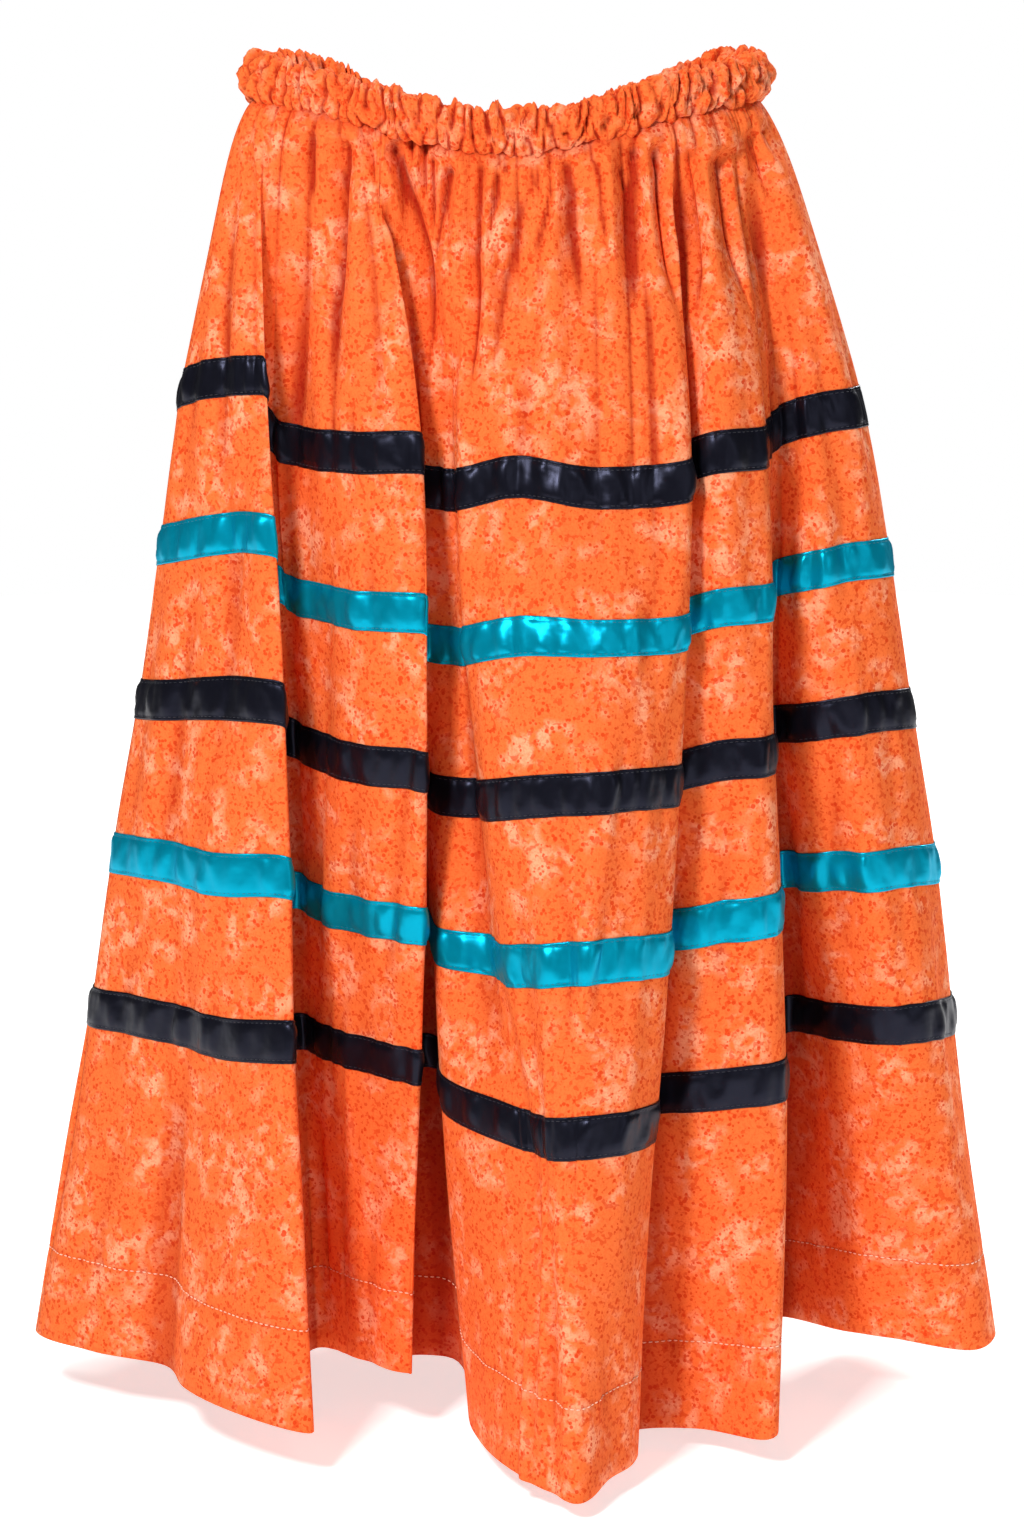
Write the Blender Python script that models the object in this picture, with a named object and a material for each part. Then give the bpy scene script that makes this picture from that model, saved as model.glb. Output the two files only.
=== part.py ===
"""Ribbon skirt: a gathered cotton skirt with five satin ribbons, hollow as it is worn.

Metres, +Z up. The origin is the middle of the waist, the front faces -Y and the skirt hangs down -Z.
The cloth is one ring of folds, lofted from the waist to the hem through six sections. Every piece
is made from that ring's points, moved out or in along the ring's normals, so that pieces which lie
on each other follow the same folds and stay a fixed gap apart.
"""
import math

import bpy
from mathutils import Vector

MM = 0.001

# ---------------------------------------------------------------- driving sizes
WAIST_HALF_WIDTH = 149 * MM     # half of the gathered waist, side to side
WAIST_HALF_DEPTH = 56 * MM      # half of the gathered waist, front to back
WAIST_SIDE_HEIGHT = 4 * MM      # top of the casing at the sides, above the origin
WAIST_DIP_FRONT = 26 * MM       # how far the casing sags at the middle of the front
WAIST_DIP_BACK = 44 * MM        # and at the middle of the back
CASING_HEIGHT = 23 * MM         # elastic casing, top to gathering line
CASING_WALL = 3 * MM            # two layers of cotton with the elastic between
COTTON_WALL = 1.5 * MM          # the cotton, drawn thicker than cloth so that it is a solid
RIBBON_WIDTH = 25 * MM
RIBBON_WALL = 1.0 * MM
FIRST_RIBBON = 190 * MM         # top edge of the first ribbon, below the origin, at the sides
RIBBON_PITCH = 96.5 * MM        # from one ribbon's top edge to the next one's
RIBBON_COUNT = 5
SIDE_LENGTH = 804 * MM          # the hem's edge below the origin, at the sides
HEM_DEPTH = 56 * MM             # turned-up hem, edge to stitching line
HEM_WALL = 2.6 * MM             # the cotton turned double below the stitching line
HEM_LEDGE = 2 * MM              # height over which the wall grows to the hem's
GATHER_OUT = 2.0 * MM           # ridge and furrow of the gathers at the casing
GATHER_STEEPNESS = 0.6          # a gather stands out at most this share of its columns' spacing
GATHER_FADE = 50 * MM           # how far down the gathers fade out
BILLOW_SHARE = 0.045            # how much wider the gathered cloth swells just below the casing
BILLOW_DROP = 38 * MM           # and how far below the gathering line it swells most
SWING = 6 * MM                  # the folds hang this far to the right of the waist's middle
SEAM_GAP = 0.3 * MM             # air between pieces that are sewn together
STEPS = 2                       # columns from one fold point to the next

# ---------------------------------------------------------------- the folds, in millimetres
# One row for each point round the ring. "waist" is the point's x at the waist, where the depth is
# the waist's own curve. Each later column is a section: x, how far the point stands out from the
# middle plane, and how much lower the cloth hangs there than at the sides.
#    name, waist, ribbon 1, ribbon 3, ribbon 4, ribbon 5, hem
FRONT_FOLDS = (
    ("left side", -149, (-200, 0, -2), (-231, 0, -4), (-248, 0, -3), (-263, 0, 0), (-305, 0, 0)),
    ("left a", -148, (-193, 22, -11), (-213, 30, -10), (-228, 33, -8), (-236, 35, -4), (-265, 38, 0)),
    ("left b", -146.5, (-176, 38, -17), (-189, 54, -17), (-202, 58, -10), (-204, 60, -5), (-217, 62, 2)),
    ("left c", -144, (-161, 50, -20), (-166, 74, -22), (-186, 80, -11), (-186, 84, -5), (-205, 94, 3)),
    ("left edge", -140, (-150, 58, -21), (-140, 92, -22), (-137, 105, -14), (-135, 118, -12), (-123, 160, 8)),
    ("left return", -132, (-154, 42, 4), (-148, 62, 0), (-145, 64, 4), (-144, 68, 2), (-140, 78, 8)),
    ("second start", -124, (-146, 30, 18), (-138, 36, 12), (-136, 34, 14), (-134, 30, 9), (-126, 24, 2)),
    ("second", -90, (-99, 72, 22), (-99, 86, 16), (-103, 78, 17), (-103, 66, 11), (-98, 56, -2)),
    ("second edge", -77, (-55, 86, 21), (-54, 112, 16), (-56, 106, 17), (-59, 96, 12), (-65, 88, -3)),
    ("valley start", -68, (-62, 66, 34), (-65, 74, 32), (-66, 64, 28), (-68, 50, 16), (-66, 38, 2)),
    ("valley end", -59, (-56, 54, 44), (-57, 61, 38), (-57, 53, 30), (-55, 44, 18), (-44, 34, 4)),
    ("flank edge", -48, (-45, 60, 46), (-46, 70, 40), (-46, 84, 35), (-44, 106, 27), (-27, 112, 24)),
    ("flank", -33, (-36, 68, 46), (-26, 84, 39), (-15, 104, 35), (1, 150, 32), (-1, 186, 24)),
    ("middle left", -21, (-33, 84, 42), (-21, 120, 31), (-11, 128, 33), (8, 162, 32), (6, 196, 25)),
    ("middle a", 8, (2, 98, 32), (8, 152, 21), (14, 160, 25), (20, 178, 30), (20, 210, 27)),
    ("middle ridge", 37, (35, 104, 37), (45, 160, 17), (41, 172, 20), (35, 190, 27), (35, 224, 28)),
    ("middle b", 66, (69, 100, 38), (73, 150, 17), (68, 162, 20), (61, 178, 27), (58, 194, 25)),
    ("middle right", 90, (102, 90, 34), (98, 128, 20), (91, 140, 23), (84, 150, 29), (74, 156, 25)),
    ("right return", 95, (100, 74, 28), (97, 94, 20), (90, 96, 22), (82, 100, 28), (70, 104, 28)),
    ("fifth", 104, (114, 82, 21), (118, 100, 13), (117, 105, 15), (112, 106, 22), (108, 108, 25)),
    ("fifth edge", 127, (146, 66, 20), (152, 90, 11), (157, 96, 10), (161, 104, 18), (154, 138, 20)),
    ("fifth return", 132, (150, 40, 19), (151, 42, 12), (158, 40, 11), (158, 36, 18), (154, 42, 11)),
    ("last start", 136, (157, 24, 15), (160, 16, 9), (165, 2, 9), (171, -14, 11), (168, -40, 4)),
    ("last a", 140, (168, 30, 9), (176, 36, 3), (184, 28, 3), (197, 20, 5), (206, 5, -3)),
    ("last b", 144, (187, 28, 5), (210, 44, -4), (220, 42, -2), (232, 40, 1), (250, 28, -3)),
    ("last c", 147.5, (203, 14, 5), (233, 26, -3), (246, 27, -1), (260, 28, 1), (290, 26, 3)),
    ("right side", 149, (207, 0, 6), (242, 0, 1), (259, 0, 4), (272, 0, 6), (305, 0, 2)),
)
# The back runs on round the ring, from the right side to the left.
BACK_FOLDS = (
    ("back a", 144, (196, 30, 4), (222, 44, 2), (236, 48, 3), (250, 50, 4), (282, 58, 3)),
    ("back b", 132, (180, 54, 6), (198, 70, 6), (207, 76, 7), (216, 80, 7), (238, 98, 8)),
    ("back c", 116, (160, 60, 12), (172, 66, 12), (180, 62, 10), (188, 58, 8), (206, 54, 4)),
    ("back d", 98, (132, 74, 18), (146, 84, 16), (151, 88, 14), (156, 92, 12), (164, 116, 10)),
    ("back e", 82, (112, 88, 22), (116, 112, 20), (118, 126, 20), (120, 140, 20), (124, 178, 18)),
    ("back f", 68, (92, 88, 26), (92, 104, 24), (93, 113, 22), (94, 122, 20), (96, 142, 16)),
    ("back g", 54, (76, 84, 30), (78, 88, 28), (80, 84, 24), (82, 80, 20), (86, 74, 10)),
    ("back h", 38, (54, 88, 34), (54, 92, 30), (54, 86, 26), (54, 80, 22), (54, 70, 12)),
    ("back i", 22, (32, 96, 38), (30, 112, 34), (29, 117, 31), (28, 122, 28), (28, 134, 20)),
    ("back j", 4, (6, 102, 42), (2, 134, 38), (0, 148, 36), (-2, 162, 34), (-4, 198, 28)),
    ("back k", -16, (-22, 100, 42), (-30, 130, 38), (-34, 142, 36), (-38, 154, 34), (-44, 184, 26)),
    ("back l", -34, (-46, 92, 38), (-54, 104, 34), (-56, 106, 31), (-58, 108, 28), (-60, 112, 18)),
    ("back m", -50, (-66, 86, 34), (-76, 88, 30), (-79, 85, 26), (-82, 82, 22), (-84, 80, 12)),
    ("back n", -66, (-88, 86, 28), (-100, 96, 26), (-106, 100, 23), (-112, 104, 20), (-120, 118, 14)),
    ("back o", -82, (-112, 84, 22), (-128, 106, 20), (-135, 119, 18), (-142, 132, 16), (-158, 164, 14)),
    ("back p", -98, (-132, 72, 16), (-148, 84, 14), (-156, 89, 12), (-164, 94, 10), (-182, 110, 8)),
    ("back q", -116, (-154, 60, 10), (-170, 60, 8), (-179, 59, 7), (-188, 58, 6), (-206, 58, 2)),
    ("back r", -136, (-184, 42, 4), (-208, 54, 4), (-220, 60, 4), (-232, 64, 4), (-258, 74, 4)),
)

# ---------------------------------------------------------------- rows down the cloth
# A row is how far it lies below the origin at the sides, where the cloth hangs highest.
SEAM_ROW = CASING_HEIGHT - WAIST_SIDE_HEIGHT
STITCH_ROW = SIDE_LENGTH - HEM_DEPTH
RIBBON_ROWS = [FIRST_RIBBON + number * RIBBON_PITCH for number in range(RIBBON_COUNT)]
# The sections of the fold tables lie on these rows.
SECTION_ROWS = (SEAM_ROW, RIBBON_ROWS[0], *RIBBON_ROWS[2:5], SIDE_LENGTH)


def panel_rows():
    """Rows of the skirt panels: both edges of each ribbon, and the gathers and the hem."""
    rows = [SEAM_ROW + SEAM_GAP, SEAM_ROW + BILLOW_DROP, SEAM_ROW + 2 * BILLOW_DROP]
    for top in RIBBON_ROWS:
        rows += [top, top + RIBBON_WIDTH]
    return rows + [STITCH_ROW, STITCH_ROW + HEM_LEDGE, SIDE_LENGTH]


# ---------------------------------------------------------------- the ring of folds
def waist_height(x, front):
    """Height of the casing's top edge, which sags at the middle of the front and of the back."""
    dip = WAIST_DIP_FRONT if front else WAIST_DIP_BACK
    share = min(1.0, abs(x) / WAIST_HALF_WIDTH)
    return WAIST_SIDE_HEIGHT - dip * math.cos(share * math.pi / 2) ** 2


def waist_point(x, front):
    """The ring's point at the gathering line, on the waist's flat oval."""
    share = min(1.0, abs(x) / WAIST_HALF_WIDTH)
    depth = WAIST_HALF_DEPTH * math.sqrt(1 - share * share)
    return Vector((x, -depth if front else depth, waist_height(x, front) - CASING_HEIGHT))


def section_points(fold, front):
    """A fold's points in the six sections, as vectors in metres."""
    facing = -1 if front else 1
    points = [waist_point(fold[1] * MM, front)]
    for (x, out, low), row in zip(fold[2:], SECTION_ROWS[1:]):
        points.append(Vector((x * MM + SWING, facing * out * MM, -row - low * MM)))
    return points


def smooth(before, start, end, after, lengths, share):
    """A point on the smooth curve from start to end, whose neighbours are before and after."""
    first, middle, last = lengths
    leave = middle * ((start - before) / first - (end - before) / (first + middle)) + (end - start)
    arrive = middle * ((after - end) / last - (after - start) / (middle + last)) + (end - start)
    square = share * share
    cube = square * share
    return (start * (2 * cube - 3 * square + 1) + leave * (cube - 2 * square + share)
            + end * (3 * square - 2 * cube) + arrive * (cube - square))


def point_on_row(points, row):
    """A fold's point on a row, from the smooth curve down through its six sections."""
    rows = SECTION_ROWS
    span = max(index for index in range(len(rows) - 1) if rows[index] <= row)
    before = points[span - 1] if span else points[0] * 2 - points[1]
    after = points[span + 2] if span + 2 < len(rows) else points[-1] * 2 - points[-2]
    middle = rows[span + 1] - rows[span]
    first = rows[span] - rows[span - 1] if span else middle
    last = rows[span + 2] - rows[span + 1] if span + 2 < len(rows) else middle
    share = (row - rows[span]) / middle
    return smooth(before, points[span], points[span + 1], after, (first, middle, last), share)


def ring_on_row(row):
    """All the ring's columns on one row: a smooth closed curve through the folds' points."""
    folds = [section_points(fold, True) for fold in FRONT_FOLDS]
    folds += [section_points(fold, False) for fold in BACK_FOLDS]
    points = [point_on_row(fold, row) for fold in folds]
    count = len(points)
    ring = []
    for index in range(count):
        near = [points[(index + step) % count] for step in (-1, 0, 1, 2)]
        lengths = [(near[step + 1] - near[step]).length for step in range(3)]
        ring += [smooth(*near, lengths, step / STEPS) for step in range(STEPS)]
    return ring


def ring_normals(rows):
    """The outward direction at each point of some rows, across the folds and down the cloth."""
    count = len(rows[0])
    normals = []
    for index, row in enumerate(rows):
        above = rows[max(index - 1, 0)]
        below = rows[min(index + 1, len(rows) - 1)]
        normals.append([
            (row[(column + 1) % count] - row[column - 1]).cross(above[column] - below[column]).normalized()
            for column in range(count)])
    return normals


def moved(rows, normals, distance):
    """Rows of points moved out along their normals, or in if the distance is negative."""
    return [[point + normal * distance for point, normal in zip(row, normal_row)]
            for row, normal_row in zip(rows, normals)]


def gathered(rows, normals, heights):
    """The ring with the elastic's gathers: each second column stands out and the rest lie in.

    Just below the casing the gathered cloth also swells out all round.
    """
    result = []
    for row, normal_row, height in zip(rows, normals, heights):
        below = height - SEAM_ROW
        fade = math.exp(-below / GATHER_FADE)
        swell = BILLOW_SHARE * below / BILLOW_DROP * math.exp(1 - below / BILLOW_DROP)
        moved_row = []
        for column, (point, normal) in enumerate(zip(row, normal_row)):
            spacing = (row[(column + 1) % len(row)] - row[column - 1]).length / 2
            size = min(GATHER_OUT, GATHER_STEEPNESS * spacing) * fade
            ridge = normal * (size if column % 2 else -size)
            moved_row.append(point + ridge + Vector((point.x, point.y, 0)) * swell)
        result.append(moved_row)
    return result


# ---------------------------------------------------------------- objects
def material(name, colour, roughness):
    """A plain Principled material for a cloth."""
    made = bpy.data.materials.new(name)
    made.use_nodes = True
    shader = made.node_tree.nodes["Principled BSDF"]
    shader.inputs["Base Color"].default_value = (*colour, 1)
    shader.inputs["Roughness"].default_value = roughness
    shader.inputs["Metallic"].default_value = 0
    made.diffuse_color = (*colour, 1)
    return made


def cloth_solid(name, outer, inner, made_of, ring):
    """A closed solid between two grids of points, joined round the edges of the cloth.

    Its faces are laid by hand, because no two sections are alike and both sides must follow the
    normals that the neighbouring pieces use. Each cell is two triangles with the same diagonal.
    """
    rows = len(outer)
    columns = len(outer[0])
    points = [point for grid in (outer, inner) for row in grid for point in row]
    spans = columns if ring else columns - 1

    def at(side, row, column):
        return (side * rows + row) * columns + column % columns

    faces = []

    def cell(first, second, third, fourth):
        faces.append((first, second, third))
        faces.append((first, third, fourth))

    for column in range(spans):
        right = column + 1
        for row in range(rows - 1):
            low = row + 1
            cell(at(0, row, column), at(0, low, column), at(0, low, right), at(0, row, right))
            cell(at(1, row, column), at(1, row, right), at(1, low, right), at(1, low, column))
        last = rows - 1
        cell(at(0, 0, column), at(0, 0, right), at(1, 0, right), at(1, 0, column))
        cell(at(0, last, right), at(0, last, column), at(1, last, column), at(1, last, right))
    if not ring:
        end = columns - 1
        for row in range(rows - 1):
            low = row + 1
            cell(at(0, low, 0), at(0, row, 0), at(1, row, 0), at(1, low, 0))
            cell(at(0, row, end), at(0, low, end), at(1, low, end), at(1, row, end))

    mesh = bpy.data.meshes.new(name)
    mesh.from_pydata(points, [], faces)
    mesh.materials.append(made_of)
    made = bpy.data.objects.new(name, mesh)
    skirt.objects.link(made)
    return made


def panel(name, first, last, towards):
    """A skirt panel between two columns, its side edges drawn back by half a seam gap.

    The hem is the panel's own lower edge turned up inside, so the wall is double there.
    """
    columns = [column % len(cloth[0]) for column in range(first, last + 1)]
    single = moved(cloth, normals, -COTTON_WALL)
    double = moved(cloth, normals, -HEM_WALL)
    lining = [double[row] if height > STITCH_ROW else single[row] for row, height in enumerate(heights)]
    outer = [[row[column].copy() for column in columns] for row in cloth]
    inner = [[row[column].copy() for column in columns] for row in lining]
    for grid in (outer, inner):
        for row in grid:
            row[0].y += towards * SEAM_GAP / 2
            row[-1].y += towards * SEAM_GAP / 2
    cloth_solid(name, outer, inner, cotton, False)


def ribbon(number):
    """A satin ribbon right round the skirt, on the cotton's outside."""
    top = heights.index(RIBBON_ROWS[number])
    rows = cloth[top:top + 2]
    out = normals[top:top + 2]
    outer = moved(rows, out, SEAM_GAP + RIBBON_WALL)
    inner = moved(rows, out, SEAM_GAP)
    colour = black_satin if number % 2 == 0 else teal_satin
    cloth_solid("ribbon_%d" % (number + 1), outer, inner, colour, True)


def casing():
    """The scrunched casing that holds the elastic, from the gathering line to its top edge."""
    line = cloth[0]
    out = normals[0]
    lift = Vector((0, 0, SEAM_GAP))
    rise = Vector((0, 0, CASING_HEIGHT))
    rows = [[point + rise for point in line], [point + lift for point in line]]
    outer = moved(rows, [out, out], CASING_WALL / 2)
    inner = moved(rows, [out, out], -CASING_WALL / 2)
    cloth_solid("waist_casing", outer, inner, cotton, True)


for old in list(bpy.data.objects):
    bpy.data.objects.remove(old, do_unlink=True)

skirt = bpy.data.collections.new("ribbon_skirt")
bpy.context.scene.collection.children.link(skirt)

cotton = material("orange_cotton", (0.94, 0.19, 0.055), 0.85)
black_satin = material("black_satin", (0.008, 0.008, 0.018), 0.35)
teal_satin = material("teal_satin", (0.0, 0.30, 0.42), 0.35)

heights = panel_rows()
plain = [ring_on_row(row) for row in heights]
cloth = gathered(plain, ring_normals(plain), heights)
normals = ring_normals(cloth)

right_side = STEPS * (len(FRONT_FOLDS) - 1)
left_side = STEPS * (len(FRONT_FOLDS) + len(BACK_FOLDS))
panel("panel_front", 0, right_side, -1)
panel("panel_back", right_side, left_side, 1)
casing()
for number in range(RIBBON_COUNT):
    ribbon(number)
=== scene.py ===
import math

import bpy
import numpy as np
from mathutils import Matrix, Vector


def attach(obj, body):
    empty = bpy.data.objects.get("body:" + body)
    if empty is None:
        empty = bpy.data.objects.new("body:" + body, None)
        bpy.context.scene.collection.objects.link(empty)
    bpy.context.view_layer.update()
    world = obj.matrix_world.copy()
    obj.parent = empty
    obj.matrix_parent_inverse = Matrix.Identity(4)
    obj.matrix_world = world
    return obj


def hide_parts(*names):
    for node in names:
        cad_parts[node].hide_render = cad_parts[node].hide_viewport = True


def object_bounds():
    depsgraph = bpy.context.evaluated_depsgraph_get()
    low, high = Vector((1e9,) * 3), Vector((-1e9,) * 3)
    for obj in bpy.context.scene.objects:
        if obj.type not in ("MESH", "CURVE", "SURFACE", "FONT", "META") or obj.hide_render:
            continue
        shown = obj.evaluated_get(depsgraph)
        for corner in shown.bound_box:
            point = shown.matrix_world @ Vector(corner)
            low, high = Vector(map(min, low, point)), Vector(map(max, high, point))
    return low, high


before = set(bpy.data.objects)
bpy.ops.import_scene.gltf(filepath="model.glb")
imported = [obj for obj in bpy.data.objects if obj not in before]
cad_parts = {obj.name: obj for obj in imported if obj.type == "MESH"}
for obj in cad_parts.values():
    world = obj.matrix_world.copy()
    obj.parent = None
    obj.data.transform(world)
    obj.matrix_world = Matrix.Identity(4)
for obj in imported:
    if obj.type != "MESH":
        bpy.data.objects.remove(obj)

# %% [markdown]
# # A ribbon skirt
# The real skirt is two straight widths of printed orange cotton, gathered onto elastic in a
# casing, with five satin ribbons sewn round it and a deep hem. Hung out full, the cloth falls in
# a few big pleats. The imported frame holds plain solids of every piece, and each is replaced here
# by thin cloth on the same folds, so this script starts from the same table of folds.

cad_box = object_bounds()
MM = 0.001
print("CAD box", [[round(value, 3) for value in corner] for corner in cad_box])


# %% [markdown]
# ## Two helpers for everything made of nodes
# One function adds a node with its settings, values and links, and another turns the usual hex
# colours into the linear ones that the shader works with.

# %% Helpers for nodes
def linear(code):
    """A hex colour as linear red, green, blue and alpha."""
    values = [int(code[start:start + 2], 16) / 255 for start in (1, 3, 5)]
    return [v / 12.92 if v <= 0.04045 else ((v + 0.055) / 1.055) ** 2.4 for v in values] + [1]


def node(tree, kind, links=(), values=(), **settings):
    """Adds a node. Links are (input, node, output), values are (input, value), and a setting with
    an input's name sets that input."""
    made = tree.nodes.new("ShaderNode" + kind)
    for key, value in settings.items():
        if hasattr(made, key):
            setattr(made, key, value)
        else:
            made.inputs[key.replace("_", " ")].default_value = value
    for entry, value in values:
        made.inputs[entry].default_value = value
    for entry, source, result in links:
        tree.links.new(source.outputs[result], made.inputs[entry])
    return made


# %% [markdown]
# ## Where the light and the camera are
# The skirt stands in a pale studio. The camera looks slightly down from waist height with a long
# lens, which keeps the hem and the waist in proportion. The main lamp is in front, a little to the
# left and above, so every gather has a brighter and a darker side. The others only soften it.

# %% The camera
def add_object(name, data):
    """A new object in the scene's own collection."""
    made = bpy.data.objects.new(name, data)
    bpy.context.scene.collection.objects.link(made)
    return made


CAMERA_AWAY = 3.1346
CAMERA_UP = 0.3111
CAMERA_SIDE = 0.0036
CAMERA_PITCH = math.radians(13.4)
camera = add_object("camera", bpy.data.cameras.new("camera"))
camera.location = (CAMERA_SIDE, -CAMERA_AWAY, CAMERA_UP)
camera.rotation_euler = (math.pi / 2 - CAMERA_PITCH, 0, 0)
camera.data.lens = 121.9
camera.data.sensor_width = 36
bpy.context.scene.camera = camera
print("camera looks down", round(math.degrees(CAMERA_PITCH), 1), "degrees")


# %% The lamps and the surroundings
MIDDLE = (0, 0, -0.42)


def soft_lamp(name, place, side, power):
    """A square lamp that faces the middle of the skirt."""
    lamp = add_object(name, bpy.data.lights.new(name, "AREA"))
    lamp.data.shape = "SQUARE"
    lamp.data.size = side
    lamp.data.energy = power
    lamp.location = place
    way = lamp.location - type(lamp.location)(MIDDLE)
    lamp.rotation_euler = way.to_track_quat("Z", "Y").to_euler()


soft_lamp("key lamp", (-0.9, -1.95, 1.35), 0.4, 66)
soft_lamp("fill lamp", (1.9, -2.4, 0.4), 1.2, 7)
soft_lamp("back lamp", (2.0, 2.2, 1.3), 0.7, 80)
soft_lamp("top lamp", (0, 0.3, 2.6), 1.4, 18)

SURROUNDINGS = 0.09   # how strongly the white room lights the cloth
world = bpy.data.worlds.new("white studio")
world.use_nodes = True
sky = world.node_tree.nodes["Background"]
sky.inputs["Color"].default_value = (1, 1, 1, 1)
# The room itself looks white, though it lights the cloth less than the lamps do.
path = node(world.node_tree, "LightPath")
strength = node(world.node_tree, "MapRange", [("Value", path, "Is Camera Ray")],
                To_Min=SURROUNDINGS, To_Max=1.0)
world.node_tree.links.new(strength.outputs["Result"], sky.inputs["Strength"])
bpy.context.scene.world = world
bpy.context.scene.view_settings.view_transform = "Standard"
print("lamps", len(bpy.data.lights))


# %% [markdown]
# ## Materials
# Every finish starts as Blender's Principled shader, and a few nodes then give it the colour, the
# shine and the small relief of the real one.

# %% A new material
def new_material(name, **values):
    """A material with its Principled shader, and what its plain inputs are set to."""
    made = bpy.data.materials.new(name)
    made.use_nodes = True
    shader = made.node_tree.nodes["Principled BSDF"]
    for key, value in values.items():
        shader.inputs[key.replace("_", " ")].default_value = value
    return made, made.node_tree, shader


# %% [markdown]
# ## Printed cotton
# Quilting cotton is a plain weave of matt threads, about 0.35 mm apart. The print looks like
# dabbed dye: soft pale clouds 20 to 40 mm across, and over them dense specks and round dabs of a
# deeper orange, 1 to 3 mm across. Noise at those sizes gives the clouds and specks, and a cell
# pattern gives the dabs. The wrong side is paler, because the dye doesn't go right through. Shade
# is painted into the creases: each sheet keeps a value called "crease" for how deep each point
# lies, and the colour is multiplied there by a deep red that stands for the shade in the fold.

# %% The cotton's two sides
# Each dye: size, detail, distortion, the noise where it starts and is full, and its strength.
CLOUDS = (26 * MM, 1.0, 0.0, 0.42, 0.66, 0.85)
PATCHES = (10 * MM, 2.5, 0.4, 0.40, 0.62, 1.0)
SPECKS = (3.2 * MM, 1.2, 0.25, 0.56, 0.62, 0.6)
GRAINS = (1.5 * MM, 1.0, 0.0, 0.45, 0.62, 0.24)
DABS = 3.7 * MM       # one round dab in most cells of this size
# The deep red of the painted shade in the folds.
FOLD_SHADE_RED = "#A63214"
CRUMPLE = 13 * MM     # how far apart the shallow dents are that handled cotton keeps
THREAD = 0.9 * MM     # real threads are 0.35 mm apart: coarser, so that they show
WAVE_REPEAT = 0.314   # a wave texture of scale 1 repeats this many metres apart


def printed_cotton(name, deep, ground, pale, print_strength):
    """Matt cotton with a dabbed print, which is weaker on the wrong side."""
    made, tree, shader = new_material(
        name, Roughness=0.86, Specular_IOR_Level=0.12,
        Sheen_Weight=0.06, Sheen_Roughness=0.5, Sheen_Tint=linear("#FF9A5C"))
    place = node(tree, "TexCoord")
    shares = []
    for size, detail, twist, starts, full, strength in (CLOUDS, PATCHES, SPECKS, GRAINS):
        dye = node(tree, "TexNoise", [("Vector", place, "Object")],
                   Scale=1 / size, Detail=detail, Roughness=0.55, Distortion=twist)
        shares.append(node(tree, "MapRange", [("Value", dye, "Fac")],
                           interpolation_type="SMOOTHSTEP", From_Min=starts, From_Max=full,
                           To_Min=0.0, To_Max=strength * print_strength))
    cloud, patch, speck, grain = shares
    cell = node(tree, "TexVoronoi", [("Vector", place, "Object")], Scale=1 / DABS)
    uneven = node(tree, "TexNoise", [("Vector", place, "Object")], Scale=1 / (2 * DABS))
    edge = node(tree, "Math", [(0, cell, "Distance"), (1, uneven, "Fac")], operation="ADD")
    dab = node(tree, "MapRange", [("Value", edge, 0)], interpolation_type="SMOOTHSTEP",
               From_Min=0.67, From_Max=0.76, To_Min=0.85 * print_strength, To_Max=0.0)
    paler = node(tree, "Math", [(0, cloud, 0), (1, patch, 0)], operation="MULTIPLY")
    dyed = node(tree, "Mix", [("Factor", paler, 0)],
                [(6, linear(ground)), (7, linear(pale))], data_type="RGBA")
    for share in (grain, speck, dab):
        dyed = node(tree, "Mix", [("Factor", share, 0), (6, dyed, 2)],
                    [(7, linear(deep))], data_type="RGBA")
    # Painted shade: where the cloth lies in a crease, its colour is multiplied towards that deep red.
    crease = node(tree, "Attribute", attribute_name="crease")
    folded = node(tree, "Mix", [("Factor", crease, "Fac"), (6, dyed, 2)],
                  [(7, linear(FOLD_SHADE_RED))], data_type="RGBA", blend_type="MULTIPLY")
    tree.links.new(folded.outputs[2], shader.inputs["Base Color"])

    cloth = node(tree, "UVMap", uv_map="cloth metres")
    threads = [node(tree, "TexWave", [("Vector", cloth, "UV")], bands_direction=way,
                    Scale=WAVE_REPEAT / THREAD, Distortion=1.0, Detail=0.0) for way in ("X", "Y")]
    weave = node(tree, "Math", [(0, threads[0], "Fac"), (1, threads[1], "Fac")],
                 operation="ADD")
    crumple = node(tree, "TexNoise", [("Vector", place, "Object")],
                   Scale=1 / CRUMPLE, Detail=1.0, Roughness=0.6)
    lying = node(tree, "Bump", [("Height", crumple, "Fac")],
                 Strength=0.5, Distance=1.6 * MM)
    bump = node(tree, "Bump", [("Height", weave, 0), ("Normal", lying, "Normal")],
                Strength=0.3, Distance=0.2 * MM)
    tree.links.new(bump.outputs["Normal"], shader.inputs["Normal"])
    return made


cotton = printed_cotton("printed quilting cotton", "#DE3C0D", "#F77336", "#FFAC82", 1.0)
cotton_back = printed_cotton("cotton, wrong side", "#E8623A", "#F08456", "#F8A684", 0.4)
print("cotton made, specks", round(SPECKS[0] / MM, 1), "mm")


# %% [markdown]
# ## Satin ribbon
# Satin's long floating threads lie side by side, so it is smooth along them and shines in broad
# soft bands. Polyester has an IOR near 1.55. The black ribbon has a navy sheen, the teal one goes
# from deep petrol in the shade to light cyan. Fine cross ribs come from the weft.

# %% The two satins
RIB = 0.8 * MM        # weft ribs are 0.3 mm apart on the real ribbon: coarser, so that they show
DIMPLE = 14 * MM      # how far apart the ribbon's soft dimples are


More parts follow.
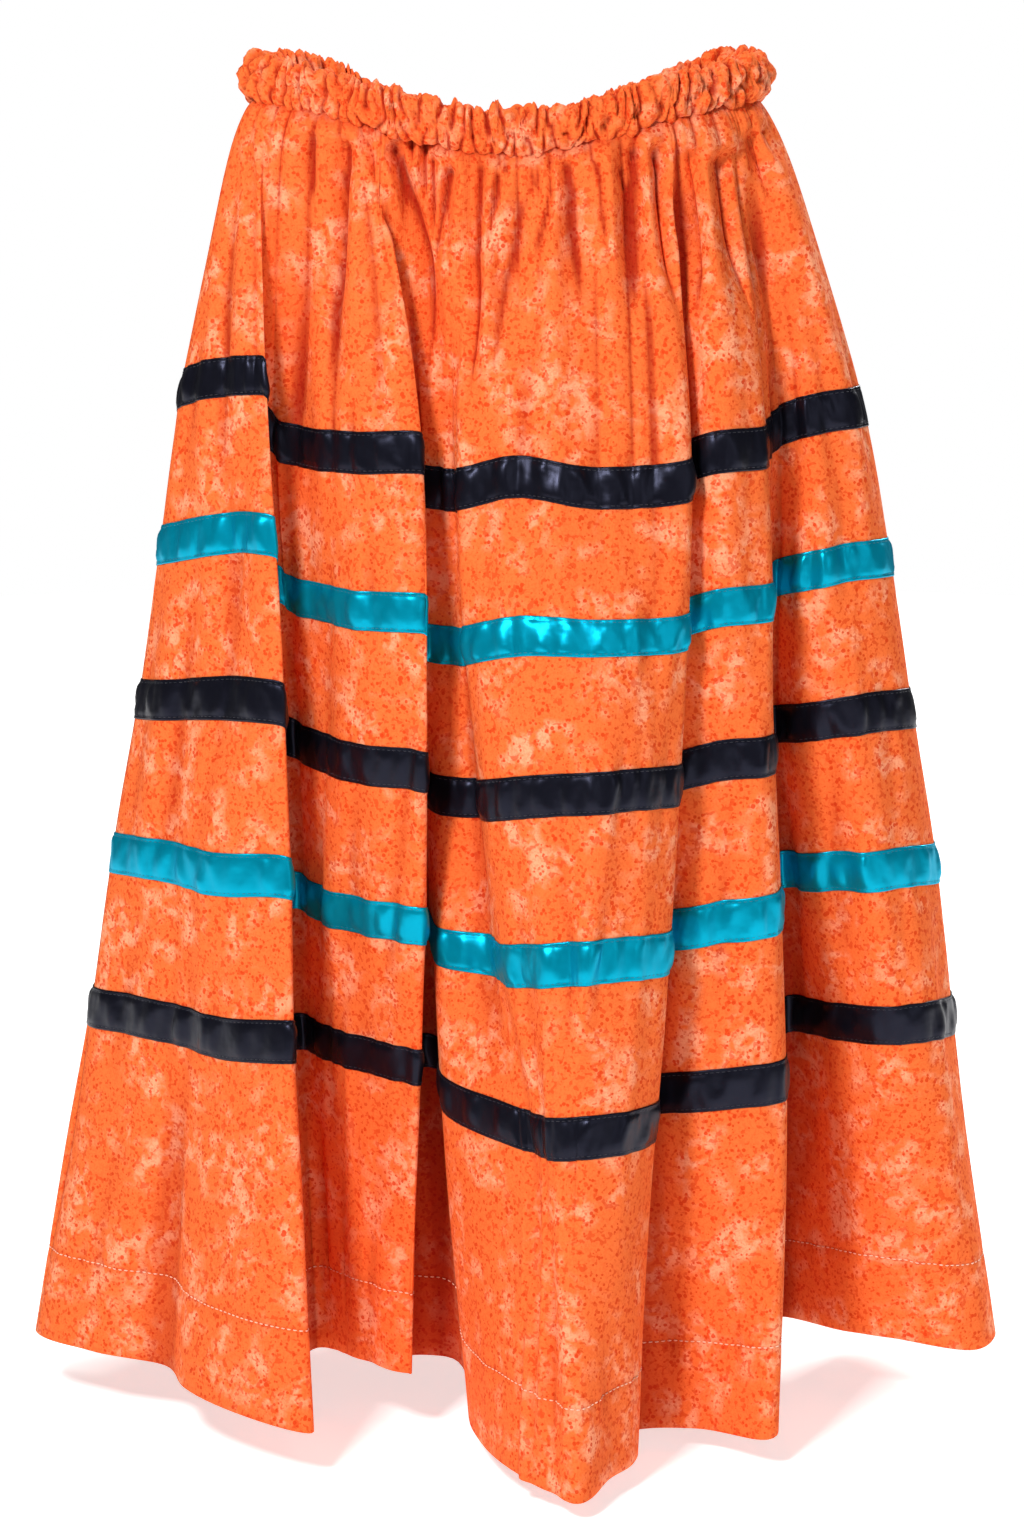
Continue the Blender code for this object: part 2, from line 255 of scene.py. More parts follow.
def satin(name, colour, shine, roughness, coloured_shine):
    """Ribbon satin with its broad, slightly directional shine."""
    made, tree, shader = new_material(
        name, Base_Color=linear(colour), IOR=1.55, Specular_IOR_Level=0.38,
        Metallic=coloured_shine, Specular_Tint=linear(shine), Anisotropic=0.4)
    cloth = node(tree, "UVMap", uv_map="cloth metres")
    ribs = node(tree, "TexWave", [("Vector", cloth, "UV")], bands_direction="X",
                Scale=WAVE_REPEAT / RIB, Distortion=0.8, Detail=0.0)
    wear = node(tree, "TexNoise", [("Vector", cloth, "UV")],
                Scale=1 / DIMPLE, Detail=2.0, Roughness=0.5)
    gloss = node(tree, "MapRange", [("Value", wear, "Fac")],
                 From_Min=0.3, From_Max=0.7, To_Min=roughness - 0.05, To_Max=roughness + 0.06)
    tree.links.new(gloss.outputs[0], shader.inputs["Roughness"])
    dimple = node(tree, "Bump", [("Height", wear, "Fac")],
                  Strength=0.5, Distance=1.0 * MM)
    bump = node(tree, "Bump", [("Height", ribs, "Fac"), ("Normal", dimple, "Normal")],
                Strength=0.12, Distance=0.1 * MM)
    tree.links.new(bump.outputs["Normal"], shader.inputs["Normal"])
    return made


# The floats' shine takes on the ribbon's colour, as a metal's does, though no metal is in it.
black_satin = satin("black satin ribbon", "#0B0B12", "#A6AAD0", 0.36, 0.0)
teal_satin = satin("teal satin ribbon", "#00A0C0", "#7FEFFF", 0.37, 0.65)
print("satins made")


# %% [markdown]
# ## Sewing thread
# Spun polyester thread is matt, with a little fuzz. It matches each satin, and the hem's is peach.

# %% Three threads
def thread(name, colour):
    """Matt thread with a fine twist."""
    made, tree, shader = new_material(
        name, Base_Color=linear(colour), Roughness=0.7, Sheen_Weight=0.2)
    place = node(tree, "TexCoord")
    twist = node(tree, "TexNoise", [("Vector", place, "Object")], Scale=2500.0)
    bump = node(tree, "Bump", [("Height", twist, "Fac")], Strength=0.4, Distance=0.1 * MM)
    tree.links.new(bump.outputs["Normal"], shader.inputs["Normal"])
    return made


peach_thread = thread("peach thread", "#FFCDB0")
black_thread = thread("black thread", "#191A2C")
teal_thread = thread("teal thread", "#00798F")
# The ribbons take turns. Each: the satin, its thread and the name of its finish.
SATINS = ((black_satin, black_thread, "black_satin"), (teal_satin, teal_thread, "teal_satin"))
print("threads made")


# %% [markdown]
# ## The folds
# A gathered skirt is one ring of cloth. Each line of the table is one line of cloth that runs
# from the waist to the hem, and says where it lies at six heights: its x, how far it stands out
# from the middle plane, and how much lower the cloth hangs there. A smooth curve through these
# points, first down the cloth and then round it, gives the whole surface.

# %% Sizes of the skirt, in millimetres
WAIST_HALF_WIDTH = 149
WAIST_HALF_DEPTH = 56
WAIST_SIDE_HEIGHT = 4
WAIST_DIP_FRONT = 26
WAIST_DIP_BACK = 44
CASING_HEIGHT = 23
RIBBON_WIDTH = 25
FIRST_RIBBON = 190
RIBBON_PITCH = 96.5
RIBBON_COUNT = 5
SIDE_LENGTH = 804
HEM_DEPTH = 56
BILLOW_SHARE = 0.045   # how much the cloth billows out just below the casing
BILLOW_DROP = 38
SWING = 6              # how far it hangs over to the right
SEAM_ROW = CASING_HEIGHT - WAIST_SIDE_HEIGHT
STITCH_ROW = SIDE_LENGTH - HEM_DEPTH
RIBBON_ROWS = [FIRST_RIBBON + number * RIBBON_PITCH for number in range(RIBBON_COUNT)]
SECTION_ROWS = (SEAM_ROW, RIBBON_ROWS[0], *RIBBON_ROWS[2:5], SIDE_LENGTH)

#    waist, ribbon 1, ribbon 3, ribbon 4, ribbon 5, hem
FRONT_FOLDS = (
    # the left fold
    (-149, (-200, 0, -2), (-231, 0, -4), (-248, 0, -3), (-263, 0, 0), (-305, 0, 0)),
    (-148, (-193, 22, -11), (-213, 30, -10), (-228, 33, -8), (-236, 35, -4), (-265, 38, 0)),
    (-146.5, (-176, 38, -17), (-189, 54, -17), (-202, 58, -10), (-204, 60, -5), (-217, 62, 2)),
    (-144, (-161, 50, -20), (-166, 74, -22), (-186, 80, -11), (-186, 84, -5), (-205, 94, 3)),
    (-140, (-150, 58, -21), (-140, 92, -22), (-137, 105, -14), (-135, 118, -12), (-123, 160, 8)),
    (-132, (-154, 42, 4), (-148, 62, 0), (-145, 64, 4), (-144, 68, 2), (-140, 78, 8)),
    # the second fold
    (-124, (-146, 30, 18), (-138, 36, 12), (-136, 34, 14), (-134, 30, 9), (-126, 24, 2)),
    (-90, (-99, 72, 22), (-99, 86, 16), (-103, 78, 17), (-103, 66, 11), (-98, 56, -2)),
    (-77, (-55, 86, 21), (-54, 112, 16), (-56, 106, 17), (-59, 96, 12), (-65, 88, -3)),
    # the valley beside it, and its flank
    (-68, (-62, 66, 34), (-65, 74, 32), (-66, 64, 28), (-68, 50, 16), (-66, 38, 2)),
    (-59, (-56, 54, 44), (-57, 61, 38), (-57, 53, 30), (-55, 44, 18), (-44, 34, 4)),
    (-48, (-45, 60, 46), (-46, 70, 40), (-46, 84, 35), (-44, 106, 27), (-27, 112, 24)),
    (-33, (-36, 68, 46), (-26, 84, 39), (-15, 104, 35), (1, 150, 32), (-1, 186, 24)),
    # the middle fold
    (-21, (-33, 84, 42), (-21, 120, 31), (-11, 128, 33), (8, 162, 32), (6, 196, 25)),
    (8, (2, 98, 32), (8, 152, 21), (14, 160, 25), (20, 178, 30), (20, 210, 27)),
    (37, (35, 104, 37), (45, 160, 17), (41, 172, 20), (35, 190, 27), (35, 224, 28)),
    (66, (69, 100, 38), (73, 150, 17), (68, 162, 20), (61, 178, 27), (58, 194, 25)),
    (90, (102, 90, 34), (98, 128, 20), (91, 140, 23), (84, 150, 29), (74, 156, 25)),
    (95, (100, 74, 28), (97, 94, 20), (90, 96, 22), (82, 100, 28), (70, 104, 28)),
    # the fifth fold
    (104, (114, 82, 21), (118, 100, 13), (117, 105, 15), (112, 106, 22), (108, 108, 25)),
    (127, (146, 66, 20), (152, 90, 11), (157, 96, 10), (161, 104, 18), (154, 138, 20)),
    (132, (150, 40, 19), (151, 42, 12), (158, 40, 11), (158, 36, 18), (154, 42, 11)),
    # the last fold, to the right side
    (136, (157, 24, 15), (160, 16, 9), (165, 2, 9), (171, -14, 11), (168, -40, 4)),
    (140, (168, 30, 9), (176, 36, 3), (184, 28, 3), (197, 20, 5), (206, 5, -3)),
    (144, (187, 28, 5), (210, 44, -4), (220, 42, -2), (232, 40, 1), (250, 28, -3)),
    (147.5, (203, 14, 5), (233, 26, -3), (246, 27, -1), (260, 28, 1), (290, 26, 3)),
    (149, (207, 0, 6), (242, 0, 1), (259, 0, 4), (272, 0, 6), (305, 0, 2)),
)
# The back runs on round the ring, from the right side to the left.
BACK_FOLDS = (
    (144, (196, 30, 4), (222, 44, 2), (236, 48, 3), (250, 50, 4), (282, 58, 3)),
    (132, (180, 54, 6), (198, 70, 6), (207, 76, 7), (216, 80, 7), (238, 98, 8)),
    (116, (160, 60, 12), (172, 66, 12), (180, 62, 10), (188, 58, 8), (206, 54, 4)),
    (98, (132, 74, 18), (146, 84, 16), (151, 88, 14), (156, 92, 12), (164, 116, 10)),
    (82, (112, 88, 22), (116, 112, 20), (118, 126, 20), (120, 140, 20), (124, 178, 18)),
    (68, (92, 88, 26), (92, 104, 24), (93, 113, 22), (94, 122, 20), (96, 142, 16)),
    (54, (76, 84, 30), (78, 88, 28), (80, 84, 24), (82, 80, 20), (86, 74, 10)),
    (38, (54, 88, 34), (54, 92, 30), (54, 86, 26), (54, 80, 22), (54, 70, 12)),
    (22, (32, 96, 38), (30, 112, 34), (29, 117, 31), (28, 122, 28), (28, 134, 20)),
    (4, (6, 102, 42), (2, 134, 38), (0, 148, 36), (-2, 162, 34), (-4, 198, 28)),
    (-16, (-22, 100, 42), (-30, 130, 38), (-34, 142, 36), (-38, 154, 34), (-44, 184, 26)),
    (-34, (-46, 92, 38), (-54, 104, 34), (-56, 106, 31), (-58, 108, 28), (-60, 112, 18)),
    (-50, (-66, 86, 34), (-76, 88, 30), (-79, 85, 26), (-82, 82, 22), (-84, 80, 12)),
    (-66, (-88, 86, 28), (-100, 96, 26), (-106, 100, 23), (-112, 104, 20), (-120, 118, 14)),
    (-82, (-112, 84, 22), (-128, 106, 20), (-135, 119, 18), (-142, 132, 16), (-158, 164, 14)),
    (-98, (-132, 72, 16), (-148, 84, 14), (-156, 89, 12), (-164, 94, 10), (-182, 110, 8)),
    (-116, (-154, 60, 10), (-170, 60, 8), (-179, 59, 7), (-188, 58, 6), (-206, 58, 2)),
    (-136, (-184, 42, 4), (-208, 54, 4), (-220, 60, 4), (-232, 64, 4), (-258, 74, 4)),
)

print("lines of cloth", len(FRONT_FOLDS), "in front and", len(BACK_FOLDS), "behind")


# %% From the table to a surface
def smooth(before, start, end, after, lengths, share):
    """A point on the smooth curve from start to end, whose neighbours are before and after."""
    first, middle, last = lengths
    leave = middle * ((start - before) / first - (end - before) / (first + middle)) + (end - start)
    arrive = middle * ((after - end) / last - (after - start) / (middle + last)) + (end - start)
    square = share * share
    cube = square * share
    return (start * (2 * cube - 3 * square + 1) + leave * (cube - 2 * square + share)
            + end * (3 * square - 2 * cube) + arrive * (cube - square))


def waist_point(x, front):
    """The ring's point at the gathering line, on the waist's flat oval."""
    share = min(1.0, abs(x) / WAIST_HALF_WIDTH)
    depth = WAIST_HALF_DEPTH * math.sqrt(1 - share * share)
    dip = WAIST_DIP_FRONT if front else WAIST_DIP_BACK
    height = WAIST_SIDE_HEIGHT - dip * math.cos(share * math.pi / 2) ** 2
    return x, -depth if front else depth, height - CASING_HEIGHT


def section_points(fold, front):
    """One line of cloth at the six heights."""
    facing = -1 if front else 1
    points = [waist_point(fold[0], front)]
    for (x, out, low), row in zip(fold[1:], SECTION_ROWS[1:]):
        points.append((x + SWING, facing * out, -row - low))
    return points


lines = [section_points(fold, True) for fold in FRONT_FOLDS]
lines += [section_points(fold, False) for fold in BACK_FOLDS]
lines = np.array(lines, float)


def on_row(row):
    """All lines of cloth on one row, from the smooth curve down through their sections."""
    rows = SECTION_ROWS
    span = max(index for index in range(len(rows) - 1) if rows[index] <= row)
    before = lines[:, span - 1] if span else lines[:, 0] * 2 - lines[:, 1]
    ended = span + 2 >= len(rows)
    after = lines[:, -1] * 2 - lines[:, -2] if ended else lines[:, span + 2]
    middle = rows[span + 1] - rows[span]
    first = rows[span] - rows[span - 1] if span else middle
    last = middle if ended else rows[span + 2] - rows[span + 1]
    share = (row - rows[span]) / middle
    return smooth(before, lines[:, span], lines[:, span + 1], after, (first, middle, last), share)


# %% [markdown]
# ## How fine the cloth is
# Small creases need close rows and columns, and long soft folds don't. The columns between two
# lines of cloth are shared out by how wide the cloth is there. The rows are close under the
# casing, where the gathers start, and beside the ribbons and the hem's stitching.

# %% Columns and rows
FRONT_COLUMNS = 350
BACK_COLUMNS = 250


def steps_round(points):
    """How far it is from each point to the next one round the ring."""
    return np.linalg.norm(np.roll(points, -1, axis=-2) - points, axis=-1)


def share_columns():
    """For each column: the line of cloth before it, and the share of the way to the next."""
    wide = steps_round(on_row(RIBBON_ROWS[3])) + steps_round(on_row(40)) * 1.5
    before, shares = [], []
    front = len(FRONT_FOLDS) - 1
    for first, last, count in ((0, front, FRONT_COLUMNS), (front, len(lines), BACK_COLUMNS)):
        total = wide[first:last].sum()
        for line in range(first, last):
            steps = max(4, round(count * wide[line] / total))
            before += [line] * steps
            shares += [step / steps for step in range(steps)]
    return np.array(before), np.array(shares)


line_before, line_share = share_columns()
right_seam = int(np.argmax(line_before >= len(FRONT_FOLDS) - 1))
columns = len(line_before)


def row_list():
    """The rows of the cloth, each so far below the origin at the sides."""
    stops = [(SEAM_ROW - 2, 2.8), (SEAM_ROW + 42, 5.5), (RIBBON_ROWS[0] - 15, 5.0)]
    for top in RIBBON_ROWS:
        stops += [(top, 6.3), (top + RIBBON_WIDTH, 5.0), (top + RIBBON_WIDTH + 15, 8.5),
                  (top + RIBBON_PITCH - 15, 5.0)]
    stops[-1] = (STITCH_ROW - 9, 3.8)
    stops += [(STITCH_ROW - 1.4, 1.4), (STITCH_ROW + 1.4, 4.6), (STITCH_ROW + 6, 8.5), (SIDE_LENGTH, 1)]
    rows = []
    for (start, pitch), (end, _) in zip(stops, stops[1:]):
        count = max(1, math.ceil((end - start) / pitch - 0.01))
        rows += [start + (end - start) * step / count for step in range(count)]
    return rows + [SIDE_LENGTH]


rows = np.array(row_list())
print("cloth grid", len(rows), "rows by", columns, "columns, right seam at", right_seam)


# %% The smooth folds, before any creases
def plain_grid():
    """Points of the cloth without gathers and creases, row by column, in millimetres."""
    points = np.array([on_row(max(row, SEAM_ROW)) for row in rows])
    points[:, :, 2] -= np.minimum(rows - SEAM_ROW, 0)[:, None]
    count = len(lines)
    near = [points[:, (line_before + step) % count] for step in (-1, 0, 1, 2)]
    lengths = [np.linalg.norm(near[step + 1] - near[step], axis=2, keepdims=True) for step in range(3)]
    grid = smooth(*near, lengths, line_share[None, :, None])
    below = np.maximum(rows - SEAM_ROW, 0) / BILLOW_DROP
    swell = BILLOW_SHARE * below * np.exp(1 - below)
    grid[:, :, :2] *= 1 + swell[:, None, None]
    return grid


def unit(ways):
    """The same directions, each of length 1."""
    return ways / np.linalg.norm(ways, axis=-1, keepdims=True)


def outward(grid):
    """The outward direction at each point of a grid that closes into a ring."""
    across = np.roll(grid, -1, axis=1) - np.roll(grid, 1, axis=1)
    return unit(np.cross(across, -np.gradient(grid, axis=0)))


plain = plain_grid()
plain_out = outward(plain)
step_lengths = steps_round(plain)
waist_round = step_lengths[2].sum()
along_waist = np.concatenate([[0], np.cumsum(step_lengths[2])[:-1]])
print("round the waist", round(waist_round), "mm, round the hem", round(step_lengths[-1].sum()), "mm")


# %% [markdown]
# ## Gathers
# Elastic pulls the cloth into pleats under the casing. Each is a broad rounded ridge between
# sharp, deep furrows, and no two are alike. Right under the casing, where the stitching holds
# them, there are only fine ridges 3 to 5 mm wide. The pleats swell out 10 mm lower and fade after
# 50 to 250 mm. In front the main furrows are listed one by one, with their own depth and length.
# All other pleats come from a seeded list.

# %% The furrows in front
# Each: half width, depth, and then its course as (x, distance below the origin), in millimetres.
FURROWS = (
    (3, 2.5, (-116, 37), (-117, 63), (-114, 85)),
    (4, 7, (-95, 39), (-96, 56), (-100, 74), (-104, 107), (-108, 141), (-108, 170), (-108, 208)),
    (3.5, 5, (-86, 37), (-79, 50), (-78, 63), (-79, 81)),
    (7, 3, (-75, 51), (-77, 63), (-70, 85), (-63, 119), (-61, 130), (-59, 161)),
    (3.5, 7, (-68, 41), (-61, 62), (-56, 80), (-50, 113), (-48, 141), (-47, 158), (-47, 204)),
    (2.5, 5, (-57, 36), (-56, 63)),
    (2.5, 5, (-49, 35), (-48, 69), (-49, 96)),
    (3, 6, (-44, 47), (-44, 80), (-47, 124)),
    (3.5, 6, (-32, 54), (-36, 70), (-41, 91), (-46, 130)),
    (4, 6, (-14, 52), (-16, 74), (-18, 96), (-20, 108), (-20, 130), (-23, 170), (-27, 216)),
    (3, 5, (-5, 56), (-6, 70), (-11, 92), (-16, 122)),
    (4, 3, (2, 51), (-1, 65), (-6, 85)),
    (9, 4, (15, 52), (14, 69), (9, 85), (0, 119), (-6, 163), (-16, 193)),
    (3, 2, (28, 57), (24, 74), (16, 107), (13, 119), (0, 147)),
    (3, 4, (16, 55), (17, 69), (22, 76)),
    (3, 3.5, (26, 48), (27, 63), (25, 78), (20, 102), (15, 121)),
    (6, 4, (34, 51), (38, 59), (40, 69), (40, 88), (43, 116), (45, 145)),
    (2.5, 1.8, (53, 50), (56, 63), (58, 88), (63, 116), (69, 135)),
    (3, 5, (67, 52), (69, 59), (73, 74), (75, 84)),
    (4.5, 7, (75, 42), (75, 69), (76, 97), (77, 125), (77, 151)),
    (4, 7, (87, 43), (91, 55), (92, 72), (96, 93), (99, 121), (103, 151)),
    (2.5, 4, (98, 55), (97, 71), (97, 83)),
    (3, 2, (104, 42), (102, 59), (105, 78)),
    (5, 7, (109, 45), (110, 61), (110, 83), (112, 111), (111, 151)),
    (7, 8, (131, 46), (134, 59), (139, 82), (143, 107), (147, 141), (148, 158)),
    (5, 4, (145, 37), (150, 55), (158, 73), (169, 92)),
    (4, 2.5, (153, 34), (161, 48), (169, 63)),
)


def fall_off(share):
    """A smooth step from 0 to 1."""
    share = np.clip(share, 0, 1)
    return share * share * (3 - 2 * share)


def furrow_depth(across, height, course, half_width, depth):
    """How deep a furrow presses each point in, sharp along its middle and fading at its ends."""
    course = np.array(course, float)
    lengths = np.linalg.norm(np.diff(course, axis=0), axis=1)
    whole = lengths.sum()
    nearest = np.full(across.shape, 1e9)
    along = np.zeros(across.shape)
    walked = 0.0
    for start, end, length in zip(course, course[1:], lengths):
        way = (end - start) / length
        run = np.clip((across - start[0]) * way[0] + (height - start[1]) * way[1], 0, length)
        apart = np.hypot(across - start[0] - way[0] * run, height - start[1] - way[1] * run)
        closer = apart < nearest
        nearest = np.where(closer, apart, nearest)
        along = np.where(closer, walked + run, along)
        walked += length
    ends = fall_off(along / 9 + 0.25) * fall_off((whole - along) / (0.6 * whole) + 0.04)
    notch = 0.8 * np.exp(-(nearest / half_width) ** 1.15)
    shoulder = 0.6 * np.exp(-(nearest / (half_width * 2.6)) ** 2)
    return (depth + 1.5) * (notch + shoulder) * ends


def front_furrows():
    """All the listed furrows, on the cloth that faces the front."""
    seen = fall_off((-plain_out[:, :, 1] - 0.05) / 0.5)
    total = np.zeros(plain.shape[:2])
    for half_width, depth, *course in FURROWS:
        pressed = furrow_depth(plain[:, :, 0], -plain[:, :, 2], course, half_width, depth)
        total = np.maximum(total, pressed)
    total[:, right_seam:] = 0
    return total * seen


print("furrows placed by hand", len(FURROWS))


# %% The pleats
# Each pair is the least and the most, in millimetres.
BIG_WIDTHS = (8, 19)
BIG_HEIGHTS = (4.0, 8.5)
BIG_REACH = (50, 100)
EXTRA_REACH = 150         # a few pleats run this much further down
FINE_WIDTHS = (2.8, 5.4)
FINE_HEIGHTS = (1.0, 2.6)
FINE_REACH = (9, 22)
dice = np.random.default_rng(41)


def furrow_places(narrow, wide):
    """Where the furrows are along the waist, with uneven pleats between them."""
    widths = dice.uniform(narrow, wide, int(2 * waist_round / (narrow + wide)))
    places = np.concatenate([[0], np.cumsum(widths)])
    return places * waist_round / places[-1]


def ridges(along, places, roundness):
    """Which pleat each point lies on, and its share of that pleat's height."""
    pleat = np.clip(np.searchsorted(places, along, side="right") - 1, 0, len(places) - 2)
    share = (along - places[pleat]) / (places[pleat + 1] - places[pleat])
    return pleat, np.sin(np.pi * np.clip(share, 0, 1)) ** roundness


big_places = furrow_places(*BIG_WIDTHS)
big_heights = dice.uniform(*BIG_HEIGHTS, len(big_places))
big_reach = dice.uniform(*BIG_REACH, len(big_places))
big_reach += dice.uniform(0, 1, len(big_places)) ** 3 * EXTRA_REACH
fine_places = furrow_places(*FINE_WIDTHS)
fine_heights = dice.uniform(*FINE_HEIGHTS, len(fine_places))
fine_reach = dice.uniform(*FINE_REACH, len(fine_places))
print("pleats", len(big_places), "and fine ones", len(fine_places))


# %% The gathers' shape
FURROW_STRENGTH = 1.6
ROUNDED_OUT = 4.5         # how far the front swells out just below the casing
TUCKED_IN = 1.6           # how far the cloth goes back in under the casing's edge
below_seam = np.maximum(rows - SEAM_ROW, 0)[:, None]


def gathers():
    """How far the gathers move each point outward, in millimetres."""
    pleat, ridge = ridges(along_waist, big_places, 0.6)
    big = (ridge * big_heights[pleat] - 3.5)[None, :]
    big = big * np.exp(-(below_seam / big_reach[pleat][None, :]) ** 1.25)
    from_left, from_right = along_waist / 25, (along_waist[right_seam] - along_waist) / 25
    in_front = (fall_off(from_left) * fall_off(from_right))[None, :]
    big *= fall_off(below_seam / 14 + 0.12) * (1 - 0.35 * in_front)
    pleat, ridge = ridges(along_waist, fine_places, 0.8)
    fine = (ridge * fine_heights[pleat] - 0.9)[None, :]
    fine = fine * np.exp(-below_seam / fine_reach[pleat][None, :])
    rounded = ROUNDED_OUT * np.exp(-((below_seam - 20) / 22) ** 2) * in_front
    tucked = TUCKED_IN * np.exp(-(below_seam / 4) ** 2)
    return big + fine + rounded - tucked - front_furrows() * FURROW_STRENGTH


gathered = gathers()
print("gathers from", round(gathered.min(), 1), "to", round(gathered.max(), 1), "mm")


# %% [markdown]
# ## Soft creases
# Below the gathers the cloth isn't smooth either: it has long shallow ripples that run down the
# cloth, and short puckers beside every row of stitching, where the ribbon and the hem hold the
# cotton a little tighter. Sums of a few waves with seeded phases give an uneven ripple.

# %% Ripples and puckers
# Each: width, height, seed and strength, in millimetres.
LONG_RIPPLE = (55, 420, 5, 2.6)
SHORT_RIPPLE = (24, 200, 6, 0.55)
RIBBON_PUCKER = (15, 240, 7, 0.7)
HEM_PUCKER = (10, 160, 8, 0.7)
STITCHED_IN = 0.6         # how far the hem's stitches pull the cotton in
STITCH_INSET = 2          # the ribbons are stitched this far inside their edges


def wavy(across, down, wide, tall, seed, waves=9):
    """An uneven ripple from -1 to 1: waves of about this width across and height down."""
    rolls = np.random.default_rng(seed)
    total = np.zeros(np.broadcast(across, down).shape)
    for _ in range(waves):
        angle_across = 2 * np.pi / (wide * rolls.uniform(0.6, 1.7)) * rolls.choice([-1, 1])
        angle_down = 2 * np.pi / (tall * rolls.uniform(0.7, 1.8))
        total += np.sin(across * angle_across + down * angle_down + rolls.uniform(0, 2 * np.pi))
    return total / math.sqrt(waves)


row_column = rows[:, None]
halfway_down = np.cumsum(step_lengths[len(rows) // 2])
mean_along = (halfway_down - halfway_down[0])[None, :]


def beside(seams, reach):
    """1 at the rows of stitching and falling to nothing over a reach, for each row."""
    apart = np.min(np.abs(row_column - np.array(seams)[None, :]), axis=1, keepdims=True)
    return np.exp(-(apart / reach) ** 1.3)


def over_cloth(wide, tall, seed, strength):
    """A ripple over the whole cloth."""
    return wavy(mean_along, row_column, wide, tall, seed) * strength


ribbon_edges = [edge for top in RIBBON_ROWS
                for edge in (top + STITCH_INSET, top + RIBBON_WIDTH - STITCH_INSET)]
facing = 0.35 + 0.65 * np.abs(plain_out[:, :, 1])
ripple = over_cloth(*LONG_RIPPLE) + over_cloth(*SHORT_RIPPLE)
ripple *= np.clip((row_column - SEAM_ROW) / 160, 0, 1)
ripple *= 1 - 0.5 * fall_off((row_column - STITCH_ROW + 30) / 86)
pucker = over_cloth(*RIBBON_PUCKER) * beside(ribbon_edges, 16)
pucker += over_cloth(*HEM_PUCKER) * beside([STITCH_ROW], 15)
at_hem_stitches = np.exp(-((row_column - STITCH_ROW) / 1.5) ** 2)
creases = (gathered + ripple + pucker) * facing - STITCHED_IN * at_hem_stitches

cloth = plain + plain_out * creases[:, :, None]
cloth_out = outward(cloth)
print("creases from", round(creases.min(), 1), "to", round(creases.max(), 1), "mm")


# %% [markdown]
# ## How deep each point lies, for painted shade
# A point in a crease lies behind the mean of its neighbours along the row. Near neighbours find
# the gathers' furrows, and far ones find the valleys between the big pleats. There the cotton's
# colour gets painted shade, as it does in a band under the casing and along the hem's stitching.

# %% From the shape to the painted shade
def mean_beside(grid, reach):
    """The mean of each point and its neighbours along the row."""
    return sum(np.roll(grid, step, axis=1) for step in range(-reach, reach + 1)) / (2 * reach + 1)


def hollow(grid, out, reach):
    """How far each point lies behind the mean of its neighbours, in millimetres."""
    return ((mean_beside(grid, reach) - grid) * out).sum(axis=2)


gathered_rows = fall_off((RIBBON_ROWS[0] + 40 - row_column) / 60)
# Painted shade in the gathers' furrows and beside them.
shade_in_furrows = fall_off((hollow(cloth, cloth_out, 4) - 0.1) / 1.6) * (0.5 + 0.5 * gathered_rows)
shade_beside_furrows = fall_off((hollow(cloth, cloth_out, 9) - 0.5) / 5) * gathered_rows
# Painted shade in the valleys between the big pleats.
shade_in_pleats = fall_off((hollow(plain, plain_out, 15) - 4) / 24)
# A painted shadow just under the casing's edge.
shade_under_casing = 0.85 * np.exp(-(np.maximum(row_column - SEAM_ROW, 0) / 6) ** 2)
# All of them together, with a thin line of painted shade along the hem's stitching.
painted_shade_share = 1 - ((1 - 0.8 * shade_in_furrows) * (1 - 0.4 * shade_beside_furrows) * (1 - 0.7 * shade_in_pleats)
                    * (1 - shade_under_casing) * (1 - 0.25 * at_hem_stitches))
print("share of the cloth in creases", round((painted_shade_share > 0.5).mean(), 3))


# %% [markdown]
# ## Sewing the panels
# Each panel is one thin sheet. Its lower edge turns up inside, as on the real hem, so the sheet
# goes down the outside, round the edge, and back up to the stitching. Solidify then gives the
# cotton its thickness and the wrong side its own paler finish.

# %% Turning points into sheets
def smooth_mesh(name, points, faces, finishes, corner_map=None, depth=None):
    """A smooth mesh from points in millimetres. It can keep where each corner lies on the flat
    cloth, and how much painted shade each point gets for lying in a crease, from 0 to 1."""
    mesh = bpy.data.meshes.new(name)
    mesh.from_pydata((points.reshape(-1, 3) * MM).tolist(), [], faces)
    mesh.polygons.foreach_set("use_smooth", [True] * len(mesh.polygons))
    for finish in finishes:
        mesh.materials.append(finish)
    if corner_map is not None:
        flat_cloth = mesh.uv_layers.new(name="cloth metres")
        flat_cloth.data.foreach_set("uv", corner_map.reshape(-1).astype(np.float32))
    # The painted shade goes into the point value that the cotton's colour reads.
    if depth is not None:
        kept = mesh.attributes.new("crease", "FLOAT", "POINT")
        kept.data.foreach_set("value", np.clip(depth, 0, 1).reshape(-1).astype(np.float32))
    return add_object(name, mesh)


# Its depth, if given, is the painted shade of each point.
def sheet_object(name, grid, ring, across, down, finish, lining, thickness, depth=None):
    """A sheet of cloth from a grid of points in millimetres, with its cloth as a flat map."""
    count_rows, count = grid.shape[:2]
    spans = count if ring else count - 1
    here = np.arange(count_rows - 1)[:, None] * count
    left = np.arange(spans)[None, :]
    right = (left + 1) % count
    corners = [here + left, here + count + left, here + count + right, here + right]
    corners = np.stack(corners, axis=-1).reshape(-1, 4).tolist()
    flat = np.stack([across, down], axis=-1) * MM
    corner_map = np.stack([flat[:-1, :-1], flat[1:, :-1], flat[1:, 1:], flat[:-1, 1:]], axis=2)
    made = smooth_mesh(name, grid, corners, (finish, lining), corner_map, depth)
    thick = made.modifiers.new("thickness", "SOLIDIFY")
    thick.thickness = thickness * MM
    thick.offset = -1
    thick.material_offset = 1
    return made


